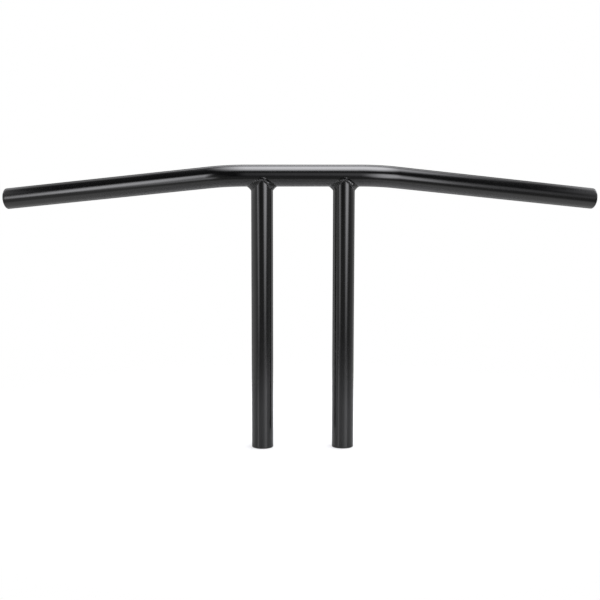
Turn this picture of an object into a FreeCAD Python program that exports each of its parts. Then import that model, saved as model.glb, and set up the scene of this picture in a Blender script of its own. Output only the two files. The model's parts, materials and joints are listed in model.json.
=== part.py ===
import FreeCAD, Part
import math
import os

# A T-bar handlebar for a motorbike, in millimetres: one bent cross tube welded
# across two straight risers that bolt to the top clamp.
# X runs along the bar towards the rider's left hand, Y runs back to the rider, Z runs up the risers.
# The origin lies midway between the two bolt holes, on the plane of the riser feet.

Vector = FreeCAD.Vector

# Cross tube
BAR_OD = 25.4
BAR_WALL = 3.0
BEND_RADIUS = 127.0
BEND_ANGLE = 20.0
BEND_PLANE_TIP = 20.0
GRIP_LENGTH = 266.0
BAR_EDGE_BREAK = 0.8
BAR_BORE_BREAK = 0.5
WELD_TO_BEND = 0.7

# Risers
RISER_OD = 25.4
RISER_WALL = 3.0
RISER_SPACING = 95.25
RISE = 322.5
RISER_EDGE_BREAK = 0.8
COPE_TIP_TRIM = 3.0

# Threaded bungs in the riser feet, drilled for a half-inch coarse thread
BUNG_LENGTH = 38.0
BUNG_FIT = 0.05
BUNG_LEAD = 1.0
TAP_BORE = 10.7
THREAD_LEAD_IN = 0.4
GROOVE_SHARE = 0.6

# Saddle welds
WELD_LEG = 5.0
WELD_CAP_HALF = 3.2
WELD_CROWN = 0.7
WELD_STATIONS = 48

# Sizes that follow from the ones above
bar_radius = BAR_OD / 2
bar_bore = bar_radius - BAR_WALL
riser_radius = RISER_OD / 2
riser_bore = riser_radius - RISER_WALL
riser_x = RISER_SPACING / 2
bung_radius = riser_bore - BUNG_FIT
riser_face = RISER_WALL - RISER_EDGE_BREAK
bung_face = bung_radius - TAP_BORE / 2 - THREAD_LEAD_IN
groove = GROOVE_SHARE * min(riser_face, bung_face)
flat_half = riser_x + riser_radius + WELD_LEG + WELD_TO_BEND
tip = math.radians(BEND_PLANE_TIP)
bend_inward = Vector(0, math.cos(tip), -math.sin(tip))
bend_axis = Vector(0, math.sin(tip), math.cos(tip))


def ring_face(centre, normal, outer, inner=None):
    """A flat disc, or a flat ring when an inner radius is given."""
    rim = Part.Wire(Part.makeCircle(outer, centre, normal))
    if inner is None:
        return Part.Face(rim)
    face = Part.Face(rim).cut(Part.Face(Part.Wire(Part.makeCircle(inner, centre, normal))))
    return face.Faces[0]


def half_bar(side, outer, inner=None):
    """Half of the cross tube: straight centre, one bend, straight grip length."""
    along = Vector(side, 0, 0)
    start = Vector(0, 0, RISE)
    bend_start = start + along * flat_half
    bend_centre = bend_start + bend_inward * BEND_RADIUS
    turn = side * BEND_ANGLE
    centre_length = ring_face(start, along, outer, inner).extrude(along * flat_half)
    section = ring_face(bend_start, along, outer, inner)
    bend = section.revolve(bend_centre, bend_axis, turn)
    grip_face = section.copy()
    grip_face.rotate(bend_centre, bend_axis, turn)
    arm = FreeCAD.Rotation(bend_axis, turn).multVec(along)
    grip = grip_face.extrude(arm * GRIP_LENGTH)
    return centre_length.fuse([bend, grip])


def whole_bar(outer, inner=None):
    """Both halves joined into one continuous bent tube or rod."""
    return half_bar(1, outer, inner).fuse(half_bar(-1, outer, inner)).removeSplitter().Solids[0]


def bar_end(side):
    """Centre of the open end of the cross tube and the direction it faces."""
    along = Vector(side, 0, 0)
    bend_start = Vector(side * flat_half, 0, RISE)
    bend_centre = bend_start + bend_inward * BEND_RADIUS
    turn = FreeCAD.Rotation(bend_axis, side * BEND_ANGLE)
    arm = turn.multVec(along)
    return bend_centre + turn.multVec(bend_start - bend_centre) + arm * GRIP_LENGTH, arm


def round_edges(solid, centre, radius):
    """The circular edges of one radius about one centre."""
    found = []
    for edge in solid.Edges:
        curve = edge.Curve
        if isinstance(curve, Part.Circle) and abs(curve.Radius - radius) < 0.01:
            if curve.Center.distanceToPoint(centre) < 0.01:
                found.append(edge)
    return found


# The cross tube is bent in one plane, and that plane is tipped down at the back,
# so the grips sweep back to the rider and drop a little.
cross_bar = whole_bar(bar_radius, bar_bore)
for side in (1, -1):
    end, arm = bar_end(side)
    cross_bar = cross_bar.makeFillet(BAR_EDGE_BREAK, round_edges(cross_bar, end, bar_radius))
    cross_bar = cross_bar.makeChamfer(BAR_BORE_BREAK, round_edges(cross_bar, end, bar_bore))
bar_rod = whole_bar(bar_radius)


# Each riser is coped to the outside of the cross tube. The feather-thin tips of the
# cope are trimmed back, and the weld fills what they leave.
def make_riser(x):
    foot = Vector(x, 0, 0)
    up = Vector(0, 0, RISE - COPE_TIP_TRIM)
    tube = ring_face(foot, Vector(0, 0, 1), riser_radius, riser_bore).extrude(up)
    tube = tube.makeFillet(RISER_EDGE_BREAK, round_edges(tube, foot, riser_radius))
    tube = tube.makeChamfer(groove, round_edges(tube, foot, riser_bore))
    return tube.cut(bar_rod).Solids[0]


# The bung is a turned plug. Its foot is bevelled to make one side of the weld groove,
# its top edge is eased so that it enters the tube, and its bore runs right through.
def make_bung(x):
    foot = Vector(x, 0, 0)
    up = Vector(0, 0, BUNG_LENGTH)
    plug = ring_face(foot, Vector(0, 0, 1), bung_radius, TAP_BORE / 2).extrude(up)
    plug = plug.makeChamfer(groove, round_edges(plug, foot, bung_radius))
    plug = plug.makeChamfer(BUNG_LEAD, round_edges(plug, foot + up, bung_radius))
    plug = plug.makeChamfer(THREAD_LEAD_IN, round_edges(plug, foot, TAP_BORE / 2))
    return plug.makeChamfer(THREAD_LEAD_IN, round_edges(plug, foot + up, TAP_BORE / 2))


# The groove weld between bung and riser, dressed flush with the foot.
def make_bung_weld(x):
    corners = [
        Vector(bung_radius - groove, 0, 0),
        Vector(riser_bore + groove, 0, 0),
        Vector(riser_bore, 0, groove),
        Vector(bung_radius, 0, groove),
    ]
    section = Part.Face(Part.makePolygon(corners + corners[:1]))
    ring = section.revolve(Vector(0, 0, 0), Vector(0, 0, 1), 360)
    ring.translate(Vector(x, 0, 0))
    return ring


# The saddle weld follows the line where riser and cross tube meet, with its two peaks
# rounded off where the cope tips are trimmed. In the corner under the bar the bead is a
# concave fillet. Round the front and back, where the two tubes come level with each
# other, the corner opens out and the bead turns into a low cap.
def saddle_root(x, angle):
    across = riser_radius * math.sin(angle)
    room = bar_radius**2 - across**2
    depth = math.sqrt((room + math.hypot(room, 2 * COPE_TIP_TRIM**2)) / 2)
    return Vector(x + riser_radius * math.cos(angle), across, RISE - depth)


def on_riser(x, point):
    """The nearest point on the outside of the riser."""
    out = Vector(point.x - x, point.y, 0).normalize() * riser_radius
    return Vector(x + out.x, out.y, point.z)


def on_bar(point):
    """The nearest point on the outside of the cross tube's straight centre."""
    out = Vector(0, point.y, point.z - RISE).normalize() * bar_radius
    return Vector(point.x, out.y, RISE + out.z)


def weld_section(x, angle):
    """One section of the bead: root, toe and mid seat on each tube, and the crown between."""
    step = 0.001
    root = saddle_root(x, angle)
    run = (saddle_root(x, angle + step) - saddle_root(x, angle - step)).normalize()
    riser_out = Vector(math.cos(angle), math.sin(angle), 0)
    bar_out = Vector(0, root.y, root.z - RISE).normalize()
    up_bar = bar_out.cross(run).normalize()
    down_riser = run.cross(riser_out).normalize()
    opening = up_bar.getAngle(down_riser)
    leg = WELD_CAP_HALF + (WELD_LEG - WELD_CAP_HALF) * (1 + math.cos(opening))
    throat = leg * math.tan((math.pi - opening) / 4) + WELD_CROWN
    return {
        "root": root,
        "crown": root + (riser_out + bar_out).normalize() * throat,
        "bar toe": on_bar(root + up_bar * leg),
        "bar seat": on_bar(root + up_bar * leg / 2),
        "riser toe": on_riser(x, root + down_riser * leg),
        "riser seat": on_riser(x, root + down_riser * leg / 2),
    }


def spline_poles(points):
    """Poles of a closed cubic spline that runs through the points."""
    count = len(points)
    poles = []
    for i in range(count):
        beside = points[i - 1] + points[(i + 1) % count]
        poles.append(points[i] * (4 / 3) - beside * (1 / 6))
    return poles


def weld_band(sections, first, middle, last):
    """A band round the joint in four quarters, curved across from one edge to the other."""
    edge = [s[first] for s in sections]
    bow = [s[middle] * 2 - (s[first] + s[last]) / 2 for s in sections]
    far_edge = [s[last] for s in sections]
    grid = [list(row) for row in zip(spline_poles(edge), spline_poles(bow), spline_poles(far_edge))]
    count = len(sections)
    band = Part.BSplineSurface()
    knots = list(range(count + 1))
    band.buildFromPolesMultsKnots(grid, [1] * (count + 1), [3, 3], knots, [0, 1], True, False, 3, 2)
    quarter = count / 4
    return [band.toShape(i * quarter, (i + 1) * quarter, 0, 1) for i in range(4)]


def make_saddle_weld(x):
    sections = []
    for station in range(WELD_STATIONS):
        sections.append(weld_section(x, 2 * math.pi * station / WELD_STATIONS))
    face = weld_band(sections, "bar toe", "crown", "riser toe")
    riser_side = weld_band(sections, "riser toe", "riser seat", "root")
    bar_side = weld_band(sections, "root", "bar seat", "bar toe")
    skin = Part.makeShell(face + riser_side + bar_side)
    skin.sewShape()
    return Part.Solid(skin)


os.makedirs("parts", exist_ok=True)
cross_bar.exportStep("parts/cross_bar.step")
for name, x in (("left", riser_x), ("right", -riser_x)):
    make_riser(x).exportStep(f"parts/riser_{name}.step")
    make_saddle_weld(x).exportStep(f"parts/saddle_weld_{name}.step")
    make_bung(x).exportStep(f"parts/threaded_bung_{name}.step")
    make_bung_weld(x).exportStep(f"parts/bung_weld_{name}.step")
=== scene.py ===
import json
import math

import bmesh
import bpy
from mathutils import Matrix, Quaternion, Vector


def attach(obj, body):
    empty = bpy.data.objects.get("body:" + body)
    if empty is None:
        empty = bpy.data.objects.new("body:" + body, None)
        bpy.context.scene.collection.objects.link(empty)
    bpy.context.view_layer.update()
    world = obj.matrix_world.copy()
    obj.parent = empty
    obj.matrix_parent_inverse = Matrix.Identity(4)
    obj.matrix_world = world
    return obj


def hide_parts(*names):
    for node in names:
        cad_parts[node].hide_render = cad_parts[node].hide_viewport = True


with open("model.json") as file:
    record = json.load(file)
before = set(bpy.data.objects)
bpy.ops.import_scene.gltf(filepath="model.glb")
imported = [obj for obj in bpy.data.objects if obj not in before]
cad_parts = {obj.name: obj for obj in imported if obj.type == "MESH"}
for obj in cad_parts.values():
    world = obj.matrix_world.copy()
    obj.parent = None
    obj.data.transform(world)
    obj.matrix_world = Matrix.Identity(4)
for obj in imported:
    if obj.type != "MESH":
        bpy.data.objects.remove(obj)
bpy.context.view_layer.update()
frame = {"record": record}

# Cross bar
# One length of drawn steel tube, bent once on each side and cut square, with its rims broken by a file.
# It is powder coated gloss black once the risers are welded on. The coat is blown a little way into
# the open ends and dies out there, and past that the bore is bare drawn steel.
MM = 0.001
BEND_RADIUS = 127 * MM
RIM_ROUND = 0.8 * MM
BORE_EDGE = 0.5 * MM
MOUNT_INSET = 1.0 * MM
RIM_BAND = 4 * MM
COAT_REACH = 20 * MM
TUBE_FACES = 128
BEND_STEPS = 32
ROUND_STEPS = 6
CHAMFER_STEPS = 3
MERGE = 0.0005 * MM
CREASE = math.radians(35)

# The coat
COAT_IOR = 1.6
COAT_GLOSS = 0.12
COAT_BLACK = (0.0022, 0.0022, 0.0024, 1)
COAT_FULL = (0.0030, 0.0030, 0.0031, 1)
COAT_DUST = (0.020, 0.020, 0.019, 1)
COAT_THIN = (0.009, 0.008, 0.0075, 1)
PEEL_SIZE_MM = 3.0
FILM_PER_METRE = 24
FILM_SPAN = (0.3, 0.7)
FILM_ROUGH = 0.02
HAZE_PER_METRE = 210
HAZE_ROUGH = 0.02
NIBS_PER_METRE = 260
NIB_PATCHES_PER_METRE = 130
NIB_PATCH_SPAN = (0.60, 0.80)
NIB_LARGEST = 0.06
NIB_DUST = 0.3
NIB_ROUGH = 0.25
NIB_HEIGHT = 0.3
EDGE_THINNING = 0.6
COAT_BUMP = 0.1
COAT_RELIEF = 0.1 * MM

# The bare steel in the bore, and the ragged end of the coat
STEEL_LIGHT = (0.36, 0.35, 0.335, 1)
STEEL_DARK = (0.20, 0.19, 0.18, 1)
STEEL_ROUGH = 0.22
STEEL_BUMP = 0.3
DRAWN_LINES_PER_METRE = 3200
DRAWN_STRETCH = (0.02, 1, 1)
DRAWN_SPAN = (0.35, 0.65)
SCALE_BROWN = (0.12, 0.105, 0.09, 1)
SCALE_PER_METRE = 90
SCALE_SPAN = (0.5, 0.75)
SCALE_MOST = 0.6
SCALE_ROUGH = 0.3
RAGGED_PER_METRE = 420
RAGGED_SHARE = 0.5
RAGGED_SPAN = (0.68, 0.82)

mounts = {mount["name"]: mount for mount in frame["record"]["mounts"]}
grip = mounts["left_grip"]
bar_radius = grip["dims"]["r_mm"] * MM
bar_bore = mounts["left_bar_end"]["dims"]["r_mm"] * MM
grip_length = grip["dims"]["length_mm"] * MM + RIM_ROUND
along = Vector((1, 0, 0))
arm = Vector(grip["axis"]).normalized()
bend_angle = along.angle(arm)
bend_inward = Vector((0, arm.y, arm.z)).normalized()
bend_axis = along.cross(bend_inward)
bar_end = Vector(grip["pos_m"]) + arm * MOUNT_INSET
bend_end = bar_end - arm * grip_length
bend_start = bend_end - along * BEND_RADIUS * math.sin(bend_angle)
bend_start -= bend_inward * BEND_RADIUS * (1 - math.cos(bend_angle))
bend_centre = bend_start + bend_inward * BEND_RADIUS
rise = bend_start.z


def edge_loop(geom):
    """The edges among the given geometry that join two of its own points."""
    points = {g for g in geom if isinstance(g, bmesh.types.BMVert)}
    edges = [g for g in geom if isinstance(g, bmesh.types.BMEdge)]
    return [e for e in edges if e.verts[0] in points and e.verts[1] in points]


def extend(bm, loop, move, scale=1.0, about=Vector()):
    """Extrudes a loop, moves it and scales it about a point, and gives the new loop."""
    made = bmesh.ops.extrude_edge_only(bm, edges=loop)["geom"]
    points = [g for g in made if isinstance(g, bmesh.types.BMVert)]
    bmesh.ops.translate(bm, verts=points, vec=move)
    bmesh.ops.scale(bm, verts=points, vec=(scale, scale, scale), space=Matrix.Translation(-about))
    return edge_loop(made)


def bend(bm, loop, angle):
    """Sweeps a loop round the bend and gives the loop at its far side."""
    points = list({v for e in loop for v in e.verts})
    made = bmesh.ops.spin(
        bm, geom=points + loop, cent=bend_centre, axis=bend_axis, angle=angle, steps=BEND_STEPS
    )
    return edge_loop(made["geom_last"])


def break_edge(bm, edges, width, segments):
    """Rounds or chamfers edges by one width."""
    bmesh.ops.bevel(
        bm, geom=edges, offset=width, offset_type="OFFSET", segments=segments, profile=0.5,
        affect="EDGES", clamp_overlap=True, material=-1,
    )


def close_up(bm):
    """Merges doubled points and turns every face outwards."""
    bmesh.ops.remove_doubles(bm, verts=bm.verts[:], dist=MERGE)
    bmesh.ops.recalc_face_normals(bm, faces=bm.faces[:])


def make_piece(bm, name, node, material):
    """Turns a finished mesh into a piece that stands for one CAD node."""
    for face in bm.faces:
        face.smooth = True
    mesh = bpy.data.meshes.new(name)
    bm.to_mesh(mesh)
    bm.free()
    mesh.set_sharp_from_angle(angle=CREASE)
    mesh.materials.append(material)
    piece = bpy.data.objects.new(name, mesh)
    bpy.context.scene.collection.objects.link(piece)
    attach(piece, "root")
    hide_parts(node)


def new_material(name):
    """A node material, with its tree and its Principled shader."""
    material = bpy.data.materials.new(name)
    material.use_nodes = True
    tree = material.node_tree
    return material, tree, tree.nodes["Principled BSDF"]


def new_finish(name, inputs):
    """A shader node group for a surface finish, with its input sockets and its output sockets."""
    group = bpy.data.node_groups.new(name, "ShaderNodeTree")
    for socket, default in inputs.items():
        made = group.interface.new_socket(name=socket, in_out="INPUT", socket_type="NodeSocketFloat")
        made.default_value = default
    group.interface.new_socket(name="Color", in_out="OUTPUT", socket_type="NodeSocketColor")
    group.interface.new_socket(name="Roughness", in_out="OUTPUT", socket_type="NodeSocketFloat")
    group.interface.new_socket(name="Height", in_out="OUTPUT", socket_type="NodeSocketFloat")
    return group, group.nodes.new("NodeGroupInput").outputs, group.nodes.new("NodeGroupOutput").inputs


def add_node(tree, kind, settings=None, **inputs):
    """A node with its settings, and its inputs set to values or linked to sockets.

    An input is given by its name, with underscores for spaces, or as i0, i1 and so on by its number.
    """
    node = tree.nodes.new(kind)
    for key, value in (settings or {}).items():
        setattr(node, key, value)
    for key, value in inputs.items():
        socket = node.inputs[int(key[1:])] if key[1:].isdigit() else node.inputs[key.replace("_", " ")]
        if isinstance(value, bpy.types.NodeSocket):
            tree.links.new(value, socket)
        else:
            socket.default_value = value
    return node


def link_to(tree, sockets, **values):
    """Links values to sockets by name, with underscores for spaces."""
    for key, value in values.items():
        tree.links.new(value, sockets[key.replace("_", " ")])


def object_place(tree):
    """The place of a surface point in the object's own coordinates, in metres."""
    return add_node(tree, "ShaderNodeTexCoord").outputs["Object"]


def math_node(tree, operation, *values):
    """The result of a Math node on sockets and numbers."""
    inputs = {f"i{number}": value for number, value in enumerate(values)}
    return add_node(tree, "ShaderNodeMath", {"operation": operation}, **inputs).outputs[0]


def noise(tree, place, per_metre, detail=2.0, roughness=0.5):
    """The value of a Noise texture with so many patches to the metre."""
    made = add_node(
        tree, "ShaderNodeTexNoise", Vector=place, Scale=per_metre, Detail=detail, Roughness=roughness
    )
    return made.outputs[0]


def remap(tree, value, low, high, to_low=0.0, to_high=1.0):
    """A value mapped smoothly from one range to another and held inside it."""
    return add_node(
        tree, "ShaderNodeMapRange", {"interpolation_type": "SMOOTHSTEP"}, Value=value,
        i1=low, i2=high, i3=to_low, i4=to_high,
    ).outputs[0]


def blend_colours(tree, share, first, second):
    """A mix of two colours, each a socket or a constant."""
    return add_node(
        tree, "ShaderNodeMix", {"data_type": "RGBA"}, i0=share, i6=first, i7=second
    ).outputs[2]


def blend_values(tree, share, first, second):
    """A mix of two numbers, each a socket or a constant."""
    return add_node(
        tree, "ShaderNodeMix", {"data_type": "FLOAT"}, i0=share, i2=first, i3=second
    ).outputs[0]


def coat_film():
    """The skin of a gloss powder coat: soft orange peel, a film that varies a little, and dust nibs."""
    group, given, result = new_finish(
        "powder_coat_film", {"Peel size": PEEL_SIZE_MM, "Gloss": COAT_GLOSS, "Edge": 0.0}
    )
    place = object_place(group)
    peel = noise(group, place, math_node(group, "DIVIDE", 1 / MM, given["Peel size"]), detail=1.5)
    film = noise(group, place, FILM_PER_METRE, detail=3.0)
    haze = noise(group, place, HAZE_PER_METRE)
    nibs = add_node(group, "ShaderNodeTexVoronoi", {"feature": "F1"}, Vector=place, Scale=NIBS_PER_METRE)
    nib_patches = noise(group, place, NIB_PATCHES_PER_METRE)
    nib_size = remap(group, nib_patches, *NIB_PATCH_SPAN, 0, NIB_LARGEST)
    nib = math_node(group, "LESS_THAN", nibs.outputs["Distance"], nib_size)
    nib = math_node(group, "MULTIPLY", nib, NIB_DUST)
    shade = remap(group, film, *FILM_SPAN)
    colour = blend_colours(group, shade, COAT_BLACK, COAT_FULL)
    colour = blend_colours(group, given["Edge"], colour, COAT_THIN)
    colour = blend_colours(group, nib, colour, COAT_DUST)
    rough = math_node(group, "MULTIPLY_ADD", haze, HAZE_ROUGH, given["Gloss"])
    rough = math_node(group, "MULTIPLY_ADD", shade, FILM_ROUGH, rough)
    rough = math_node(group, "MULTIPLY_ADD", nib, NIB_ROUGH, rough)
    height = math_node(group, "MULTIPLY_ADD", nib, NIB_HEIGHT, peel)
    link_to(group, result, Color=colour, Roughness=rough, Height=height)
    return group


def drawn_steel():
    """Bare drawn steel: fine lines along the tube, with a dull uneven scale in patches."""
    group, _, result = new_finish("drawn_steel", {})
    split = add_node(group, "ShaderNodeSeparateXYZ", Vector=object_place(group)).outputs
    either_arm = math_node(group, "ABSOLUTE", split["X"])
    place = add_node(group, "ShaderNodeCombineXYZ", X=either_arm, Y=split["Y"], Z=split["Z"]).outputs[0]
    down_bore = add_node(
        group, "ShaderNodeMapping", Vector=place,
        Rotation=(0, 0, -math.atan2(arm.y, arm.x)), Scale=DRAWN_STRETCH,
    ).outputs[0]
    lines = noise(group, down_bore, DRAWN_LINES_PER_METRE, detail=4.0, roughness=0.65)
    scale = noise(group, place, SCALE_PER_METRE, detail=4.0, roughness=0.6)
    colour = blend_colours(group, remap(group, lines, *DRAWN_SPAN), STEEL_DARK, STEEL_LIGHT)
    colour = blend_colours(group, remap(group, scale, *SCALE_SPAN, 0, SCALE_MOST), colour, SCALE_BROWN)
    rough = math_node(group, "MULTIPLY_ADD", scale, SCALE_ROUGH, STEEL_ROUGH)
    link_to(group, result, Color=colour, Roughness=rough, Height=lines)
    return group


def black_powder_coat():
    """Gloss black coat. Where a mesh carries bare_bore, the coat breaks up and drawn steel shows."""
    material, tree, shader = new_material("black_powder_coat")
    worn = add_node(tree, "ShaderNodeAttribute", {"attribute_name": "worn_edge"}).outputs["Fac"]
    film = add_node(
        tree, "ShaderNodeGroup", {"node_tree": coat_film()}, Peel_size=PEEL_SIZE_MM, Gloss=COAT_GLOSS,
        Edge=math_node(tree, "MULTIPLY", worn, EDGE_THINNING),
    ).outputs
    steel = add_node(tree, "ShaderNodeGroup", {"node_tree": drawn_steel()}).outputs
    bare = add_node(tree, "ShaderNodeAttribute", {"attribute_name": "bare_bore"}).outputs["Fac"]
    ragged = noise(tree, object_place(tree), RAGGED_PER_METRE, detail=4.0)
    bare = remap(tree, math_node(tree, "MULTIPLY_ADD", ragged, RAGGED_SHARE, bare), *RAGGED_SPAN)
    colour = blend_colours(tree, bare, film["Color"], steel["Color"])
    rough = blend_values(tree, bare, film["Roughness"], steel["Roughness"])
    steel_lines = math_node(tree, "MULTIPLY", steel["Height"], STEEL_BUMP)
    relief = blend_values(tree, bare, film["Height"], steel_lines)
    bump = add_node(tree, "ShaderNodeBump", Strength=COAT_BUMP, Distance=COAT_RELIEF, Height=relief)
    shader.inputs["IOR"].default_value = COAT_IOR
    link_to(
        tree, shader.inputs, Base_Color=colour, Roughness=rough, Metallic=bare, Normal=bump.outputs[0]
    )
    return material


coat = black_powder_coat()

# One half of the tube is drawn out from the middle, outside first and then back along the bore.
bm = bmesh.new()
bare_bore = bm.verts.layers.float.new("bare_bore")
worn_edge = bm.verts.layers.float.new("worn_edge")
facing = Matrix.Translation((0, 0, rise)) @ Matrix.Rotation(math.pi / 2, 4, "Y")
bmesh.ops.create_circle(bm, cap_ends=False, radius=bar_radius, segments=TUBE_FACES, matrix=facing)
loop = extend(bm, bm.edges[:], bend_start - Vector((0, 0, rise)))
loop = bend(bm, loop, bend_angle)
loop = extend(bm, loop, arm * (grip_length - RIM_BAND))
rim = extend(bm, loop, arm * RIM_BAND)
mouth = extend(bm, rim, Vector(), bar_bore / bar_radius, bar_end)
loop = extend(bm, mouth, -arm * RIM_BAND)
loop = extend(bm, loop, -arm * (COAT_REACH - RIM_BAND))
for vert in {v for edge in loop for v in edge.verts}:
    vert[bare_bore] = 1.0
loop = extend(bm, loop, -arm * (grip_length - COAT_REACH))
loop = bend(bm, loop, -bend_angle)
extend(bm, loop, Vector((0, 0, rise)) - bend_start)
break_edge(bm, rim, RIM_ROUND, ROUND_STEPS)
break_edge(bm, mouth, BORE_EDGE, CHAMFER_STEPS)
for vert in bm.verts:
    if (bar_end - vert.co).dot(arm) < RIM_ROUND / 2:
        vert[worn_edge] = 1.0
bmesh.ops.mirror(bm, geom=bm.verts[:] + bm.edges[:] + bm.faces[:], axis="X", merge_dist=MERGE)
close_up(bm)
make_piece(bm, "cross_bar_tube", "cross_bar", coat)

# Risers
# Two straight lengths of the same tube, fish-mouthed at the top to saddle the cross bar and cut square
# at the foot, where the outer edge is broken and the bore is bevelled for a weld.
# They are coated together with the bar. Left and right are the rider's.
RISER_EDGE = 0.8 * MM
COPE_TIP_TRIM = 3.0 * MM
FOOT_GROOVE = 1.32 * MM
NEAR = 0.01 * MM
riser_x = mounts["riser_bolts"]["dims"]["spacing_x_mm"] * MM / 2
riser_radius = bar_radius
riser_bore = bar_bore
SIDES = (("left", riser_x), ("right", -riser_x))


def saddle_height(across):
    """Height of the cope at a distance across the bar, with its thin tips trimmed back."""
    room = bar_radius**2 - across**2
    return rise - math.sqrt((room + math.hypot(room, 2 * COPE_TIP_TRIM**2)) / 2)


def turn_round(bm, x, points, edges, steps):
    """Turns a section once round the axis of a riser."""
    bmesh.ops.spin(
        bm, geom=points + edges, cent=(x, 0, 0), axis=(0, 0, 1), angle=2 * math.pi, steps=steps,
        use_merge=True,
    )


def turned(section, x, steps):
    """A closed section of radii and heights, turned once round the axis of a riser."""
    bm = bmesh.new()
    points = [bm.verts.new((x + radius, 0, height)) for radius, height in section]
    edges = [bm.edges.new((points[i - 1], points[i])) for i in range(len(points))]
    turn_round(bm, x, points, edges, steps)
    return bm


def hoop(bm, x, radius, height):
    """The edges of one circle about the axis of a riser."""
    found = []
    for edge in bm.edges:
        near = [
            abs(v.co.z - height) < NEAR and abs(math.hypot(v.co.x - x, v.co.y) - radius) < NEAR
            for v in edge.verts
        ]
        if all(near):
            found.append(edge)
    return found


wall_section = [
    (riser_radius, rise),
    (riser_radius, 0),
    (riser_bore + FOOT_GROOVE, 0),
    (riser_bore, FOOT_GROOVE),
    (riser_bore, rise),
]
for name, x in SIDES:
    bm = turned(wall_section, x, TUBE_FACES)
    break_edge(bm, hoop(bm, x, riser_radius, 0), RISER_EDGE, ROUND_STEPS)
    for vert in bm.verts:
        if vert.co.z > rise - RISER_EDGE:
            vert.co.z = saddle_height(vert.co.y)
    close_up(bm)
    make_piece(bm, f"riser_tube_{name}", f"riser_{name}", coat)

# Saddle welds
# One fillet bead runs all round each saddle, in short dabs that leave leaning crescent ripples. It is
# concave in the corners under the bar and a low cap at the front and back. The hand left it fuller on
# the way up and flatter on the way down, with a swell where it tied in. The coat covers it.
WELD_LEG = 5.0 * MM
WELD_CAP_HALF = 3.2 * MM
WELD_CROWN = 0.7 * MM
UPHILL_FULLNESS = 1.1
CAP_BAR_SHARE = 0.6
CAP_RISER_SHARE = 0.9
CAP_SAG = 1.2 * MM
RIPPLE_PITCH = 2.1 * MM
RIPPLE_HEIGHT = 0.22 * MM
RIPPLE_LEAN = 0.6
RIPPLE_BOW = 1.5
RIPPLE_WANDER = 0.8
TIE_IN_DEGREES = {"left": 318, "right": 300}
TIE_IN_HEIGHT = {"left": 0.7 * MM, "right": 0.3 * MM}
TIE_IN_LENGTH = 3.0 * MM
TOE_SINK = 0.05 * MM
TOE_WANDER = 0.05
BEAD_STEPS = 480
BEAD_FACES = 32
ROOT_STEP = 0.001

# Each bead has its own phase for the hand's unevenness, and each wave of it a share of the whole,
# a count round the joint and a multiple of that phase.
HAND_PHASE = {"left": 0.7, "right": 2.3}
HAND_WAVES = ((0.5, 3, 1), (0.3, 7, 2), (0.2, 13, 5))
RIPPLE_PHASE_TIMES = 3


def saddle_root(x, angle):
    """The point of the joint's root line at an angle round the riser."""
    across = riser_radius * math.sin(angle)
    return Vector((x + riser_radius * math.cos(angle), across, saddle_height(across)))


def onto_bar(point, radius):
    """The point moved straight out or in to a radius about the middle of the cross bar."""
    out = Vector((0, point.y, point.z - rise)).normalized() * radius
    return Vector((point.x, out.y, rise + out.z))


def onto_riser(x, point, radius):
    """The point moved straight out or in to a radius about the axis of a riser."""
    out = Vector((point.x - x, point.y, 0)).normalized() * radius
    return Vector((x + out.x, out.y, point.z))


def hand_wander(angle, phase):
    """The slow unevenness of work done by hand, from about minus one to one."""
    return sum(share * math.sin(count * angle + times * phase) for share, count, times in HAND_WAVES)


def bead_section(x, angle, phase):
    """Root, toes, crown and outward direction of the bead at one station."""
    root = saddle_root(x, angle)
    run = (saddle_root(x, angle + ROOT_STEP) - saddle_root(x, angle - ROOT_STEP)).normalized()
    riser_out = Vector((math.cos(angle), math.sin(angle), 0))
    bar_out = Vector((0, root.y, root.z - rise)).normalized()
    up_bar = bar_out.cross(run).normalized()
    down_riser = run.cross(riser_out).normalized()
    opening = up_bar.angle(down_riser)
    leg = WELD_CAP_HALF + (WELD_LEG - WELD_CAP_HALF) * (1 + math.cos(opening))
    throat = leg * math.tan((math.pi - opening) / 4) + WELD_CROWN * (1 - UPHILL_FULLNESS * run.z)
    leg *= 1 + TOE_WANDER * hand_wander(angle, phase)
    open_share = max(0.0, -math.cos(opening))
    bar_leg = leg * (1 + (CAP_BAR_SHARE - 1) * open_share)
    riser_leg = leg * (1 + (CAP_RISER_SHARE - 1) * open_share)
    out = (riser_out + bar_out).normalized()
    return {
        "root": root,
        "out": out,
        "crown": root + out * throat + down_riser * CAP_SAG * open_share,
        "bar toe": onto_bar(root + up_bar * bar_leg, bar_radius - TOE_SINK),
        "riser toe": onto_riser(x, root + down_riser * riser_leg, riser_radius - TOE_SINK),
    }


def bead_point(x, section, turn, ripple, swell):
    """Where a point of the bead lies, from its turn about the section: face outside, seats inside."""
    bar_toe, riser_toe, root = section["bar toe"], section["riser toe"], section["root"]
    if abs(turn) > math.pi / 2:
        share = abs(turn) / (math.pi / 2) - 1
        if turn > 0:
            return onto_bar(bar_toe.lerp(root, share), bar_radius - TOE_SINK)
        return onto_riser(x, riser_toe.lerp(root, share), riser_radius - TOE_SINK)
    across = 0.5 - turn / math.pi
    bow = section["crown"] * 2 - (bar_toe + riser_toe) / 2
    face = bar_toe * (1 - across) ** 2 + bow * 2 * across * (1 - across) + riser_toe * across**2
    crescent = ripple + RIPPLE_BOW * (2 * across - 1) ** 2
    dab = 0.5 + 0.5 * math.sin(crescent - RIPPLE_LEAN * math.sin(crescent))
    return face + section["out"] * (dab * RIPPLE_HEIGHT + swell) * 4 * across * (1 - across)


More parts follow.
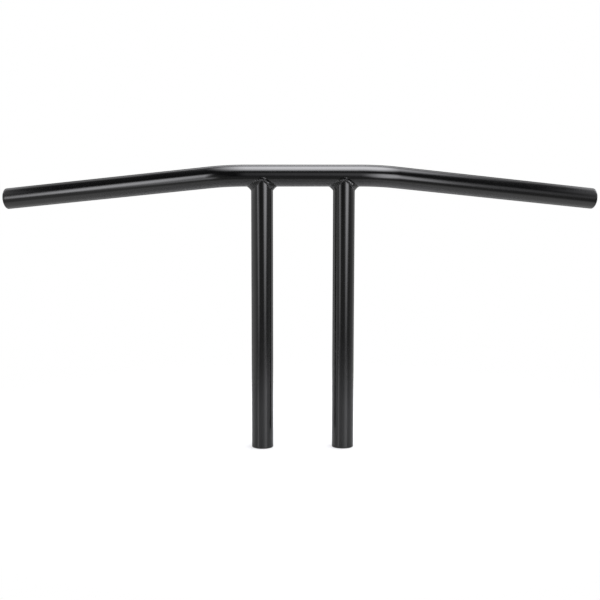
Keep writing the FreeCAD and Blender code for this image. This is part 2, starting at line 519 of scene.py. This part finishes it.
for name, x in SIDES:
    phase = HAND_PHASE[name]
    roots = [saddle_root(x, 2 * math.pi * i / BEAD_STEPS) for i in range(BEAD_STEPS + 1)]
    run = [0.0]
    for i in range(BEAD_STEPS):
        run.append(run[-1] + (roots[i + 1] - roots[i]).length)
    dabs = round(run[-1] / RIPPLE_PITCH)
    tie_in = run[BEAD_STEPS * TIE_IN_DEGREES[name] // 360]
    stations = []
    for i in range(BEAD_STEPS):
        angle = 2 * math.pi * i / BEAD_STEPS
        ripple = 2 * math.pi * dabs * run[i] / run[-1]
        ripple += RIPPLE_WANDER * hand_wander(angle, RIPPLE_PHASE_TIMES * phase)
        swell = TIE_IN_HEIGHT[name] * math.exp(-(((run[i] - tie_in) / TIE_IN_LENGTH) ** 2))
        stations.append((bead_section(x, angle, phase), ripple, swell))
    bm = bmesh.new()
    upright = Matrix.Translation((x + riser_radius, 0, 0)) @ Matrix.Rotation(math.pi / 2, 4, "X")
    bmesh.ops.create_circle(bm, cap_ends=False, radius=WELD_LEG, segments=BEAD_FACES, matrix=upright)
    turn_round(bm, x, bm.verts[:], bm.edges[:], BEAD_STEPS)
    for vert in bm.verts:
        angle = math.atan2(vert.co.y, vert.co.x - x)
        turn = math.atan2(vert.co.z, math.hypot(vert.co.x - x, vert.co.y) - riser_radius)
        section, ripple, swell = stations[round(angle / (2 * math.pi) * BEAD_STEPS) % BEAD_STEPS]
        vert.co = bead_point(x, section, turn, ripple, swell)
    close_up(bm)
    make_piece(bm, f"saddle_bead_{name}", f"saddle_weld_{name}", coat)

# Threaded bungs
# Turned steel plugs in the feet of the risers, drilled through and tapped for half-inch coarse bolts.
# The thread is masked when the bar is coated, so it stays bright, and the mouths are countersunk.
BUNG_LENGTH = 38.0 * MM
BUNG_FIT = 0.05 * MM
BUNG_LEAD = 1.0 * MM
COUNTERSINK = 6.6 * MM
SINK_RINGS = 4
THREAD_PITCH = 25.4 / 13 * MM
THREAD_MAJOR = 6.35 * MM
THREAD_CREST = 0.25 * THREAD_PITCH
THREAD_FLANK = 0.3125 * THREAD_PITCH
THREAD_ROOT = 0.125 * THREAD_PITCH
THREAD_RUN_IN = 2
THREAD_STEPS = 64
THREAD_MERGE = 0.002 * MM
CUT_NEAR = 0.001 * MM
END_NEAR = 0.005 * MM
TURNED_LIGHT = (0.56, 0.555, 0.545, 1)
TURNED_DARK = (0.38, 0.375, 0.365, 1)
TURNED_LINES_PER_METRE = 5200
TURNED_SPAN = (0.35, 0.65)
TURNED_ROUGH = 0.16
TURNED_BUMP = 0.25
TURNED_RELIEF = 0.04 * MM
OIL_BROWN = (0.21, 0.19, 0.16, 1)
OIL_PER_METRE = 160
OIL_SPAN = (0.55, 0.75)
OIL_MOST = 0.45
OIL_ROUGH = 0.25
bung_radius = riser_bore - BUNG_FIT
tap_radius = mounts["left_riser_thread"]["dims"]["r_mm"] * MM


def turned_steel():
    """Bright turned steel: fine rings about the riser's axis, with a faint oily stain."""
    material, tree, shader = new_material("turned_steel")
    place = object_place(tree)
    split = add_node(tree, "ShaderNodeSeparateXYZ", Vector=place).outputs
    off_centre = math_node(tree, "SUBTRACT", math_node(tree, "ABSOLUTE", split["X"]), riser_x)
    flat = add_node(tree, "ShaderNodeCombineXYZ", X=off_centre, Y=split["Y"])
    radius = add_node(tree, "ShaderNodeVectorMath", {"operation": "LENGTH"}, i0=flat.outputs[0])
    rings = add_node(tree, "ShaderNodeCombineXYZ", X=radius.outputs["Value"], Z=split["Z"])
    lines = noise(tree, rings.outputs[0], TURNED_LINES_PER_METRE, detail=3.0, roughness=0.6)
    oil = noise(tree, place, OIL_PER_METRE, detail=4.0, roughness=0.6)
    colour = blend_colours(tree, remap(tree, lines, *TURNED_SPAN), TURNED_DARK, TURNED_LIGHT)
    colour = blend_colours(tree, remap(tree, oil, *OIL_SPAN, 0, OIL_MOST), colour, OIL_BROWN)
    rough = math_node(tree, "MULTIPLY_ADD", oil, OIL_ROUGH, TURNED_ROUGH)
    bump = add_node(tree, "ShaderNodeBump", Strength=TURNED_BUMP, Distance=TURNED_RELIEF, Height=lines)
    shader.inputs["Metallic"].default_value = 1.0
    link_to(tree, shader.inputs, Base_Color=colour, Roughness=rough, Normal=bump.outputs[0])
    return material


def cut_level(bm, height, facing=1, clear=False):
    """Cuts a mesh at one height and, if told to, clears what lies past the cut on the side it faces."""
    bmesh.ops.bisect_plane(
        bm, geom=bm.verts[:] + bm.edges[:] + bm.faces[:], dist=CUT_NEAR, plane_co=(0, 0, height),
        plane_no=(0, 0, facing), clear_outer=clear,
    )


def open_line(bm, x, section):
    """The points and edges of an open line of radii and heights beside the axis of a riser."""
    points = [bm.verts.new((x + radius, 0, height)) for radius, height in section]
    edges = [bm.edges.new(pair) for pair in zip(points, points[1:])]
    return points, edges


def tapped_bore(x):
    """The thread of a bore, wound up from below the plug's foot and cut off at both its ends."""
    bm = bmesh.new()
    start = -THREAD_RUN_IN * THREAD_PITCH
    tooth = [
        (tap_radius, start),
        (tap_radius, start + THREAD_CREST),
        (THREAD_MAJOR, start + THREAD_CREST + THREAD_FLANK),
        (THREAD_MAJOR, start + THREAD_CREST + THREAD_FLANK + THREAD_ROOT),
        (tap_radius, start + THREAD_PITCH),
    ]
    points, edges = open_line(bm, x, tooth)
    turns = math.ceil(BUNG_LENGTH / THREAD_PITCH) + THREAD_RUN_IN + 1
    bmesh.ops.spin(
        bm, geom=points + edges, cent=(x, 0, 0), axis=(0, 0, 1), dvec=(0, 0, THREAD_PITCH / THREAD_STEPS),
        angle=2 * math.pi * turns, steps=THREAD_STEPS * turns,
    )
    bmesh.ops.remove_doubles(bm, verts=bm.verts[:], dist=THREAD_MERGE)
    cut_level(bm, 0, facing=-1, clear=True)
    cut_level(bm, BUNG_LENGTH, clear=True)
    return bm


def countersink(bm, x):
    """Opens both mouths of a tapped bore out to a cone."""
    sink = COUNTERSINK - tap_radius
    for ring in range(1, SINK_RINGS + 1):
        depth = sink * ring / SINK_RINGS
        cut_level(bm, depth)
        cut_level(bm, BUNG_LENGTH - depth)
    for vert in bm.verts:
        cone = COUNTERSINK - min(vert.co.z, BUNG_LENGTH - vert.co.z)
        radius = math.hypot(vert.co.x - x, vert.co.y)
        if radius < cone:
            vert.co.x = x + (vert.co.x - x) * cone / radius
            vert.co.y *= cone / radius


steel = turned_steel()
plug_outside = [
    (bung_radius - FOOT_GROOVE, 0),
    (bung_radius, FOOT_GROOVE),
    (bung_radius, BUNG_LENGTH - BUNG_LEAD),
    (bung_radius - BUNG_LEAD, BUNG_LENGTH),
]
for name, x in SIDES:
    bm = tapped_bore(x)
    countersink(bm, x)
    points, edges = open_line(bm, x, plug_outside)
    turn_round(bm, x, points, edges, THREAD_STEPS)
    for height in (0, BUNG_LENGTH):
        ends = [
            e for e in bm.edges
            if e.is_boundary and all(abs(v.co.z - height) < END_NEAR for v in e.verts)
        ]
        bmesh.ops.bridge_loops(bm, edges=ends)
    close_up(bm)
    make_piece(bm, f"tapped_plug_{name}", f"threaded_bung_{name}", steel)

# Bung welds
# The ring of weld that fills the groove between plug and riser. It is ground flush with the foot,
# so that the foot sits flat on the clamp, and left bare with the grinder's marks on it.
GRIND_DIP = 0.06 * MM
RING_STEPS = 160
RING_FACES = 6
GROUND_LIGHT = (0.50, 0.49, 0.475, 1)
GROUND_DARK = (0.27, 0.26, 0.25, 1)
GROUND_ROUGH = 0.22
GROUND_BUMP = 0.4
GROUND_RELIEF = 0.06 * MM
SCRATCH_TURN = math.radians(24)
SCRATCH_STRETCH = (0.08, 1, 1)
SCRATCHES_PER_METRE = 4200
SCRATCH_SPAN = (0.35, 0.68)
SCRATCH_ROUGH = 0.35
TINT_BROWN = (0.24, 0.19, 0.15, 1)
TINT_PER_METRE = 190
TINT_SPAN = (0.5, 0.72)
TINT_MOST = 0.5


def ground_weld():
    """Ground weld metal: short straight scratches one way, heat tint in patches."""
    material, tree, shader = new_material("ground_weld")
    place = object_place(tree)
    across = add_node(
        tree, "ShaderNodeMapping", Vector=place, Rotation=(0, 0, SCRATCH_TURN), Scale=SCRATCH_STRETCH
    ).outputs[0]
    scratches = noise(tree, across, SCRATCHES_PER_METRE, detail=4.0, roughness=0.7)
    tint = noise(tree, place, TINT_PER_METRE, detail=3.0)
    colour = blend_colours(tree, remap(tree, scratches, *SCRATCH_SPAN), GROUND_DARK, GROUND_LIGHT)
    colour = blend_colours(tree, remap(tree, tint, *TINT_SPAN, 0, TINT_MOST), colour, TINT_BROWN)
    rough = math_node(tree, "MULTIPLY_ADD", scratches, SCRATCH_ROUGH, GROUND_ROUGH)
    bump = add_node(
        tree, "ShaderNodeBump", Strength=GROUND_BUMP, Distance=GROUND_RELIEF, Height=scratches
    )
    shader.inputs["Metallic"].default_value = 1.0
    link_to(tree, shader.inputs, Base_Color=colour, Roughness=rough, Normal=bump.outputs[0])
    return material


ground = ground_weld()
ring_inner = bung_radius - FOOT_GROOVE
ring_outer = riser_bore + FOOT_GROOVE
ring_face = [(ring_inner + (ring_outer - ring_inner) * i / RING_FACES, 0) for i in range(RING_FACES + 1)]
ring_section = ring_face + [(riser_bore, FOOT_GROOVE), (bung_radius, FOOT_GROOVE)]
for name, x in SIDES:
    bm = turned(ring_section, x, RING_STEPS)
    for vert in bm.verts:
        radius = math.hypot(vert.co.x - x, vert.co.y)
        angle = math.atan2(vert.co.y, vert.co.x - x)
        if vert.co.z < NEAR and ring_inner + NEAR < radius < ring_outer - NEAR:
            vert.co.z = GRIND_DIP * (0.5 + 0.5 * hand_wander(angle, HAND_PHASE[name] + radius / MM))
    close_up(bm)
    make_piece(bm, f"plug_weld_{name}", f"bung_weld_{name}", ground)

# Floor
# A white table top that the bar stands on, which fades out into the white round it. Reflections see
# painted shade that darkens it towards the front.
# It lies a hair under the feet, so that no two faces share one plane.
FLOOR_RADIUS = 0.7
FLOOR_STEPS = 96
FLOOR_DROP = 0.3 * MM
FLOOR_CONTACT = 2 * MM
FLOOR_SOLID = 0.15
FLOOR_GONE = 0.55
FLOOR_GLOW = 0.36
FLOOR_WHITE = (0.54, 0.54, 0.54, 1)
# Painted shade: reflections see the table darker towards the front, as if less light fell there. The
# camera sees it all white.
FLOOR_PAINTED_SHADE = (0.36, 0.36, 0.36, 1)
FLOOR_PAINTED_SHADE_SPAN = (-0.35, 0.10)
FLOOR_GLOSS = 0.5
FLOOR_ROUGH = 0.2
SHADE_EDGE_WOBBLE_PER_METRE = 60
SHADE_EDGE_WOBBLE = 0.02
WHITE = (1, 1, 1, 1)


def seen_directly(tree, path):
    """One for what the camera sees, straight or through glass, and nought for reflections and light."""
    return math_node(tree, "MAXIMUM", path["Is Camera Ray"], path["Is Transmission Ray"])


def white_table():
    """White table top, with the shadow left in, and painted shade towards its front that only reflections
    see. It is open from below, and so are the feet on it.
    """
    material, tree, shader = new_material("white_table")
    place = object_place(tree)
    path = add_node(tree, "ShaderNodeLightPath").outputs
    direct = seen_directly(tree, path)
    # Painted shade with a wobbly edge darkens the front of the table, for reflections only.
    shade_edge_wobble = noise(tree, place, SHADE_EDGE_WOBBLE_PER_METRE, detail=3.0)
    depth = add_node(tree, "ShaderNodeSeparateXYZ", Vector=place).outputs["Y"]
    depth = math_node(tree, "MULTIPLY_ADD", shade_edge_wobble, SHADE_EDGE_WOBBLE, depth)
    colour = blend_colours(tree, remap(tree, depth, *FLOOR_PAINTED_SHADE_SPAN), FLOOR_PAINTED_SHADE, FLOOR_WHITE)
    colour = blend_colours(tree, direct, colour, FLOOR_WHITE)
    glow = math_node(tree, "MULTIPLY", direct, FLOOR_GLOW)
    gloss = math_node(tree, "MULTIPLY_ADD", direct, -FLOOR_GLOSS, FLOOR_GLOSS)
    shader.inputs["Roughness"].default_value = FLOOR_ROUGH
    shader.inputs["Emission Color"].default_value = WHITE
    link_to(tree, shader.inputs, Base_Color=colour, Specular_IOR_Level=gloss, Emission_Strength=glow)
    out = add_node(tree, "ShaderNodeVectorMath", {"operation": "LENGTH"}, i0=place).outputs["Value"]
    gone = remap(tree, out, FLOOR_SOLID, FLOOR_GONE)
    below = add_node(tree, "ShaderNodeNewGeometry").outputs["Backfacing"]
    underfoot = math_node(tree, "LESS_THAN", path["Ray Length"], FLOOR_CONTACT)
    clear = math_node(tree, "MAXIMUM", gone, math_node(tree, "MAXIMUM", below, underfoot))
    see_through = add_node(tree, "ShaderNodeBsdfTransparent").outputs[0]
    mixed = add_node(tree, "ShaderNodeMixShader", i0=clear, i1=shader.outputs[0], i2=see_through)
    link_to(tree, tree.nodes["Material Output"].inputs, Surface=mixed.outputs[0])
    return material


bm = bmesh.new()
lowered = Matrix.Translation((0, 0, -FLOOR_DROP))
bmesh.ops.create_circle(bm, cap_ends=True, radius=FLOOR_RADIUS, segments=FLOOR_STEPS, matrix=lowered)
for face in bm.faces:
    if face.normal.z < 0:
        face.normal_flip()
mesh = bpy.data.meshes.new("table_top")
bm.to_mesh(mesh)
bm.free()
mesh.materials.append(white_table())
floor = bpy.data.objects.new("table_top", mesh)
bpy.context.scene.collection.objects.link(floor)

# Light
# Two softboxes hang over the bar, two stand beside the camera and one at each flank, with a fill on the
# right, three cards in front and a small card past each end of the bar. The room is dark, with a white
# sweep at its sides and back. The camera sees only plain white. Left and right are the camera's.
LAMP_COLOUR = (0.965, 0.965, 1.0)
LAMP_HANG = 1.0
LIGHT_AIM = Vector((0, 0, rise))
CAMERA_SIDES = (("left", -1), ("right", 1))
END_CARD_GAP = 0.15
END_CARD_HEIGHT = 0.35


def softbox(name, place, aim, size, radiance, fades):
    """A rectangular lamp that fades out at its left, right, low and high edges, by shares of its size."""
    width, height = size
    lamp = bpy.data.lights.new(name, "AREA")
    lamp.shape = "RECTANGLE"
    lamp.size = width
    lamp.size_y = height
    lamp.energy = radiance * math.pi * width * height
    lamp.color = LAMP_COLOUR
    lamp.use_nodes = True
    tree = lamp.node_tree
    spot = add_node(tree, "ShaderNodeNewGeometry").outputs["Parametric"]
    split = add_node(tree, "ShaderNodeSeparateXYZ", Vector=spot).outputs
    x, y = split["X"], split["Y"]
    left, right, low, high = fades
    across = math_node(tree, "MULTIPLY", remap(tree, x, 0, left), remap(tree, x, 1, 1 - right))
    up = math_node(tree, "MULTIPLY", remap(tree, y, 0, low), remap(tree, y, 1, 1 - high))
    link_to(tree, tree.nodes["Emission"].inputs, Strength=math_node(tree, "MULTIPLY", across, up))
    made = bpy.data.objects.new(name, lamp)
    bpy.context.scene.collection.objects.link(made)
    made.location = place
    made.rotation_euler = (aim - place).to_track_quat("-Z", "Y").to_euler()
    made.visible_camera = False


def hung_softbox(name, x, y, size, radiance, fades):
    """A lamp hung over the bar that faces straight down."""
    softbox(name, Vector((x, y, rise + LAMP_HANG)), Vector((x, y, 0)), size, radiance, fades)


def side_softbox(name, azimuth, elevation, distance, size, radiance, fades):
    """A lamp aimed at the cross bar, placed by its angles from there in degrees."""
    turn = math.radians(azimuth)
    tilt = math.radians(elevation)
    ahead = Vector((math.sin(turn) * math.cos(tilt), -math.cos(turn) * math.cos(tilt), math.sin(tilt)))
    softbox(name, LIGHT_AIM + ahead * distance, LIGHT_AIM, size, radiance, fades)


hung_softbox(
    "overhead_softbox", x=0.15, y=-0.05, size=(1.60, 1.80), radiance=9.0, fades=(0.41, 0.36, 0.47, 0.47)
)
hung_softbox(
    "rear_softbox", x=0.05, y=0.95, size=(2.00, 1.30), radiance=2.7, fades=(0.50, 0.50, 0.30, 0.20)
)
side_softbox(
    "left_softbox", azimuth=-47.3, elevation=12, distance=5.0, size=(1.80, 4.40), radiance=5.7,
    fades=(0.44, 0.55, 0.42, 0.40),
)
side_softbox(
    "right_softbox", azimuth=28, elevation=7.5, distance=1.6, size=(1.46, 1.36), radiance=5.2,
    fades=(0.62, 0.18, 0.40, 0.40),
)
side_softbox(
    "right_fill", azimuth=56, elevation=6, distance=1.6, size=(0.60, 1.00), radiance=0.6,
    fades=(0.35, 0.45, 0.40, 0.40),
)
side_softbox(
    "left_card", azimuth=-38.5, elevation=-11, distance=2.5, size=(0.97, 0.97), radiance=1.7,
    fades=(0.40, 0.40, 0.50, 0.35),
)
side_softbox(
    "right_card", azimuth=29, elevation=-11, distance=2.5, size=(1.45, 0.97), radiance=2.1,
    fades=(0.40, 0.40, 0.50, 0.35),
)
side_softbox(
    "front_card", azimuth=3, elevation=18, distance=1.6, size=(1.00, 1.50), radiance=0.55,
    fades=(0.50, 0.50, 0.40, 0.40),
)
for name, side in CAMERA_SIDES:
    side_softbox(
        f"{name}_flank", azimuth=112 * side, elevation=35, distance=3.0, size=(2.20, 0.90), radiance=9.0,
        fades=(0.40, 0.40, 0.40, 0.40),
    )
for name, side in CAMERA_SIDES:
    this_side = Vector((side, 1, 1))
    outward = arm * this_side
    up = (Vector((0, 0, 1)) - outward * outward.z).normalized()
    place = bar_end * this_side + outward * END_CARD_GAP + up * END_CARD_HEIGHT / 2
    softbox(
        f"{name}_end_card", place, place - outward, size=(0.70, END_CARD_HEIGHT), radiance=0.7,
        fades=(0.35, 0.35, 0.02, 0.35),
    )

# The room, as reflections see it. A span is in the parts of a direction that has a length of one.
SWEEP_SIDE = 0.42
SWEEP_SIDE_SPAN = (-1.0, -0.4)
SWEEP_BACK = 0.36
SWEEP_BACK_SPAN = (-0.3, 0.35)
SWEEP_SKEW = -0.35
SWEEP_BEHIND = 0.3
SWEEP_BEHIND_SPAN = (0.5, 0.97)
SWEEP_TOP = (0.25, 0.75)
SWEEP_TOP_SPAN = (-0.1, 0.4)
SWEEP_TOP_BLUR = 0.15
ROOM_DARK = 0.03
ROOM_FLOOR = 0.20
ROOM_FLOOR_SPAN = (0, -0.16)
ROOM_BELOW = 0.65
ROOM_BELOW_SPAN = (-0.45, -0.75)
ROOM_AMBIENT = 0.05

world = bpy.data.worlds.new("studio")
bpy.context.scene.world = world
world.use_nodes = True
tree = world.node_tree
sky = tree.nodes["Background"]
toward = add_node(tree, "ShaderNodeTexCoord").outputs["Generated"]
split = add_node(tree, "ShaderNodeSeparateXYZ", Vector=toward).outputs
rearward = math_node(tree, "MULTIPLY_ADD", split["X"], SWEEP_SKEW, split["Y"])
sides = remap(tree, rearward, *SWEEP_SIDE_SPAN, 0, SWEEP_SIDE)
back = remap(tree, rearward, *SWEEP_BACK_SPAN, 0, SWEEP_BACK)
behind = remap(tree, split["Y"], *SWEEP_BEHIND_SPAN, 1, SWEEP_BEHIND)
above = math_node(tree, "SUBTRACT", split["Z"], remap(tree, split["Y"], *SWEEP_TOP_SPAN, *SWEEP_TOP))
sweep = math_node(tree, "MULTIPLY", math_node(tree, "ADD", sides, back), behind)
sweep = math_node(tree, "MULTIPLY", sweep, remap(tree, above, -SWEEP_TOP_BLUR, SWEEP_TOP_BLUR, 1, 0))
room = remap(tree, split["Z"], *ROOM_FLOOR_SPAN, ROOM_DARK, ROOM_FLOOR)
room = math_node(tree, "ADD", room, remap(tree, split["Z"], *ROOM_BELOW_SPAN, 0, ROOM_BELOW))
path = add_node(tree, "ShaderNodeLightPath").outputs
studio = math_node(tree, "MAXIMUM", sweep, room)
level = blend_values(tree, path["Is Glossy Ray"], ROOM_AMBIENT, studio)
level = blend_values(tree, seen_directly(tree, path), level, 1.0)
sky.inputs["Color"].default_value = WHITE
link_to(tree, sky.inputs, Strength=level)

# Camera
# A long lens a little above the bar, very nearly square on to it. Its place and angles are the ones
# at which the outline of the bar falls where the photograph has it.
CAMERA_TARGET = Vector((-0.003307, 0, 0.176464))
CAMERA_DISTANCE = 1.675023
CAMERA_AZIMUTH = math.radians(-1.316)
CAMERA_ELEVATION = math.radians(8.421)
CAMERA_ROLL = math.radians(0.082)
CAMERA_LENS = 85.436
SENSOR_WIDTH = 36

eye = bpy.data.cameras.new("camera")
eye.lens = CAMERA_LENS
eye.sensor_width = SENSOR_WIDTH
camera = bpy.data.objects.new("camera", eye)
bpy.context.scene.collection.objects.link(camera)
level_out = math.cos(CAMERA_ELEVATION)
outward = Vector((
    math.sin(CAMERA_AZIMUTH) * level_out,
    -math.cos(CAMERA_AZIMUTH) * level_out,
    math.sin(CAMERA_ELEVATION),
))
camera.location = CAMERA_TARGET + outward * CAMERA_DISTANCE
look = (-outward).to_track_quat("-Z", "Y") @ Quaternion((0, 0, 1), CAMERA_ROLL)
camera.rotation_euler = look.to_euler()
bpy.context.scene.camera = camera
bpy.context.scene.view_settings.view_transform = "Standard"
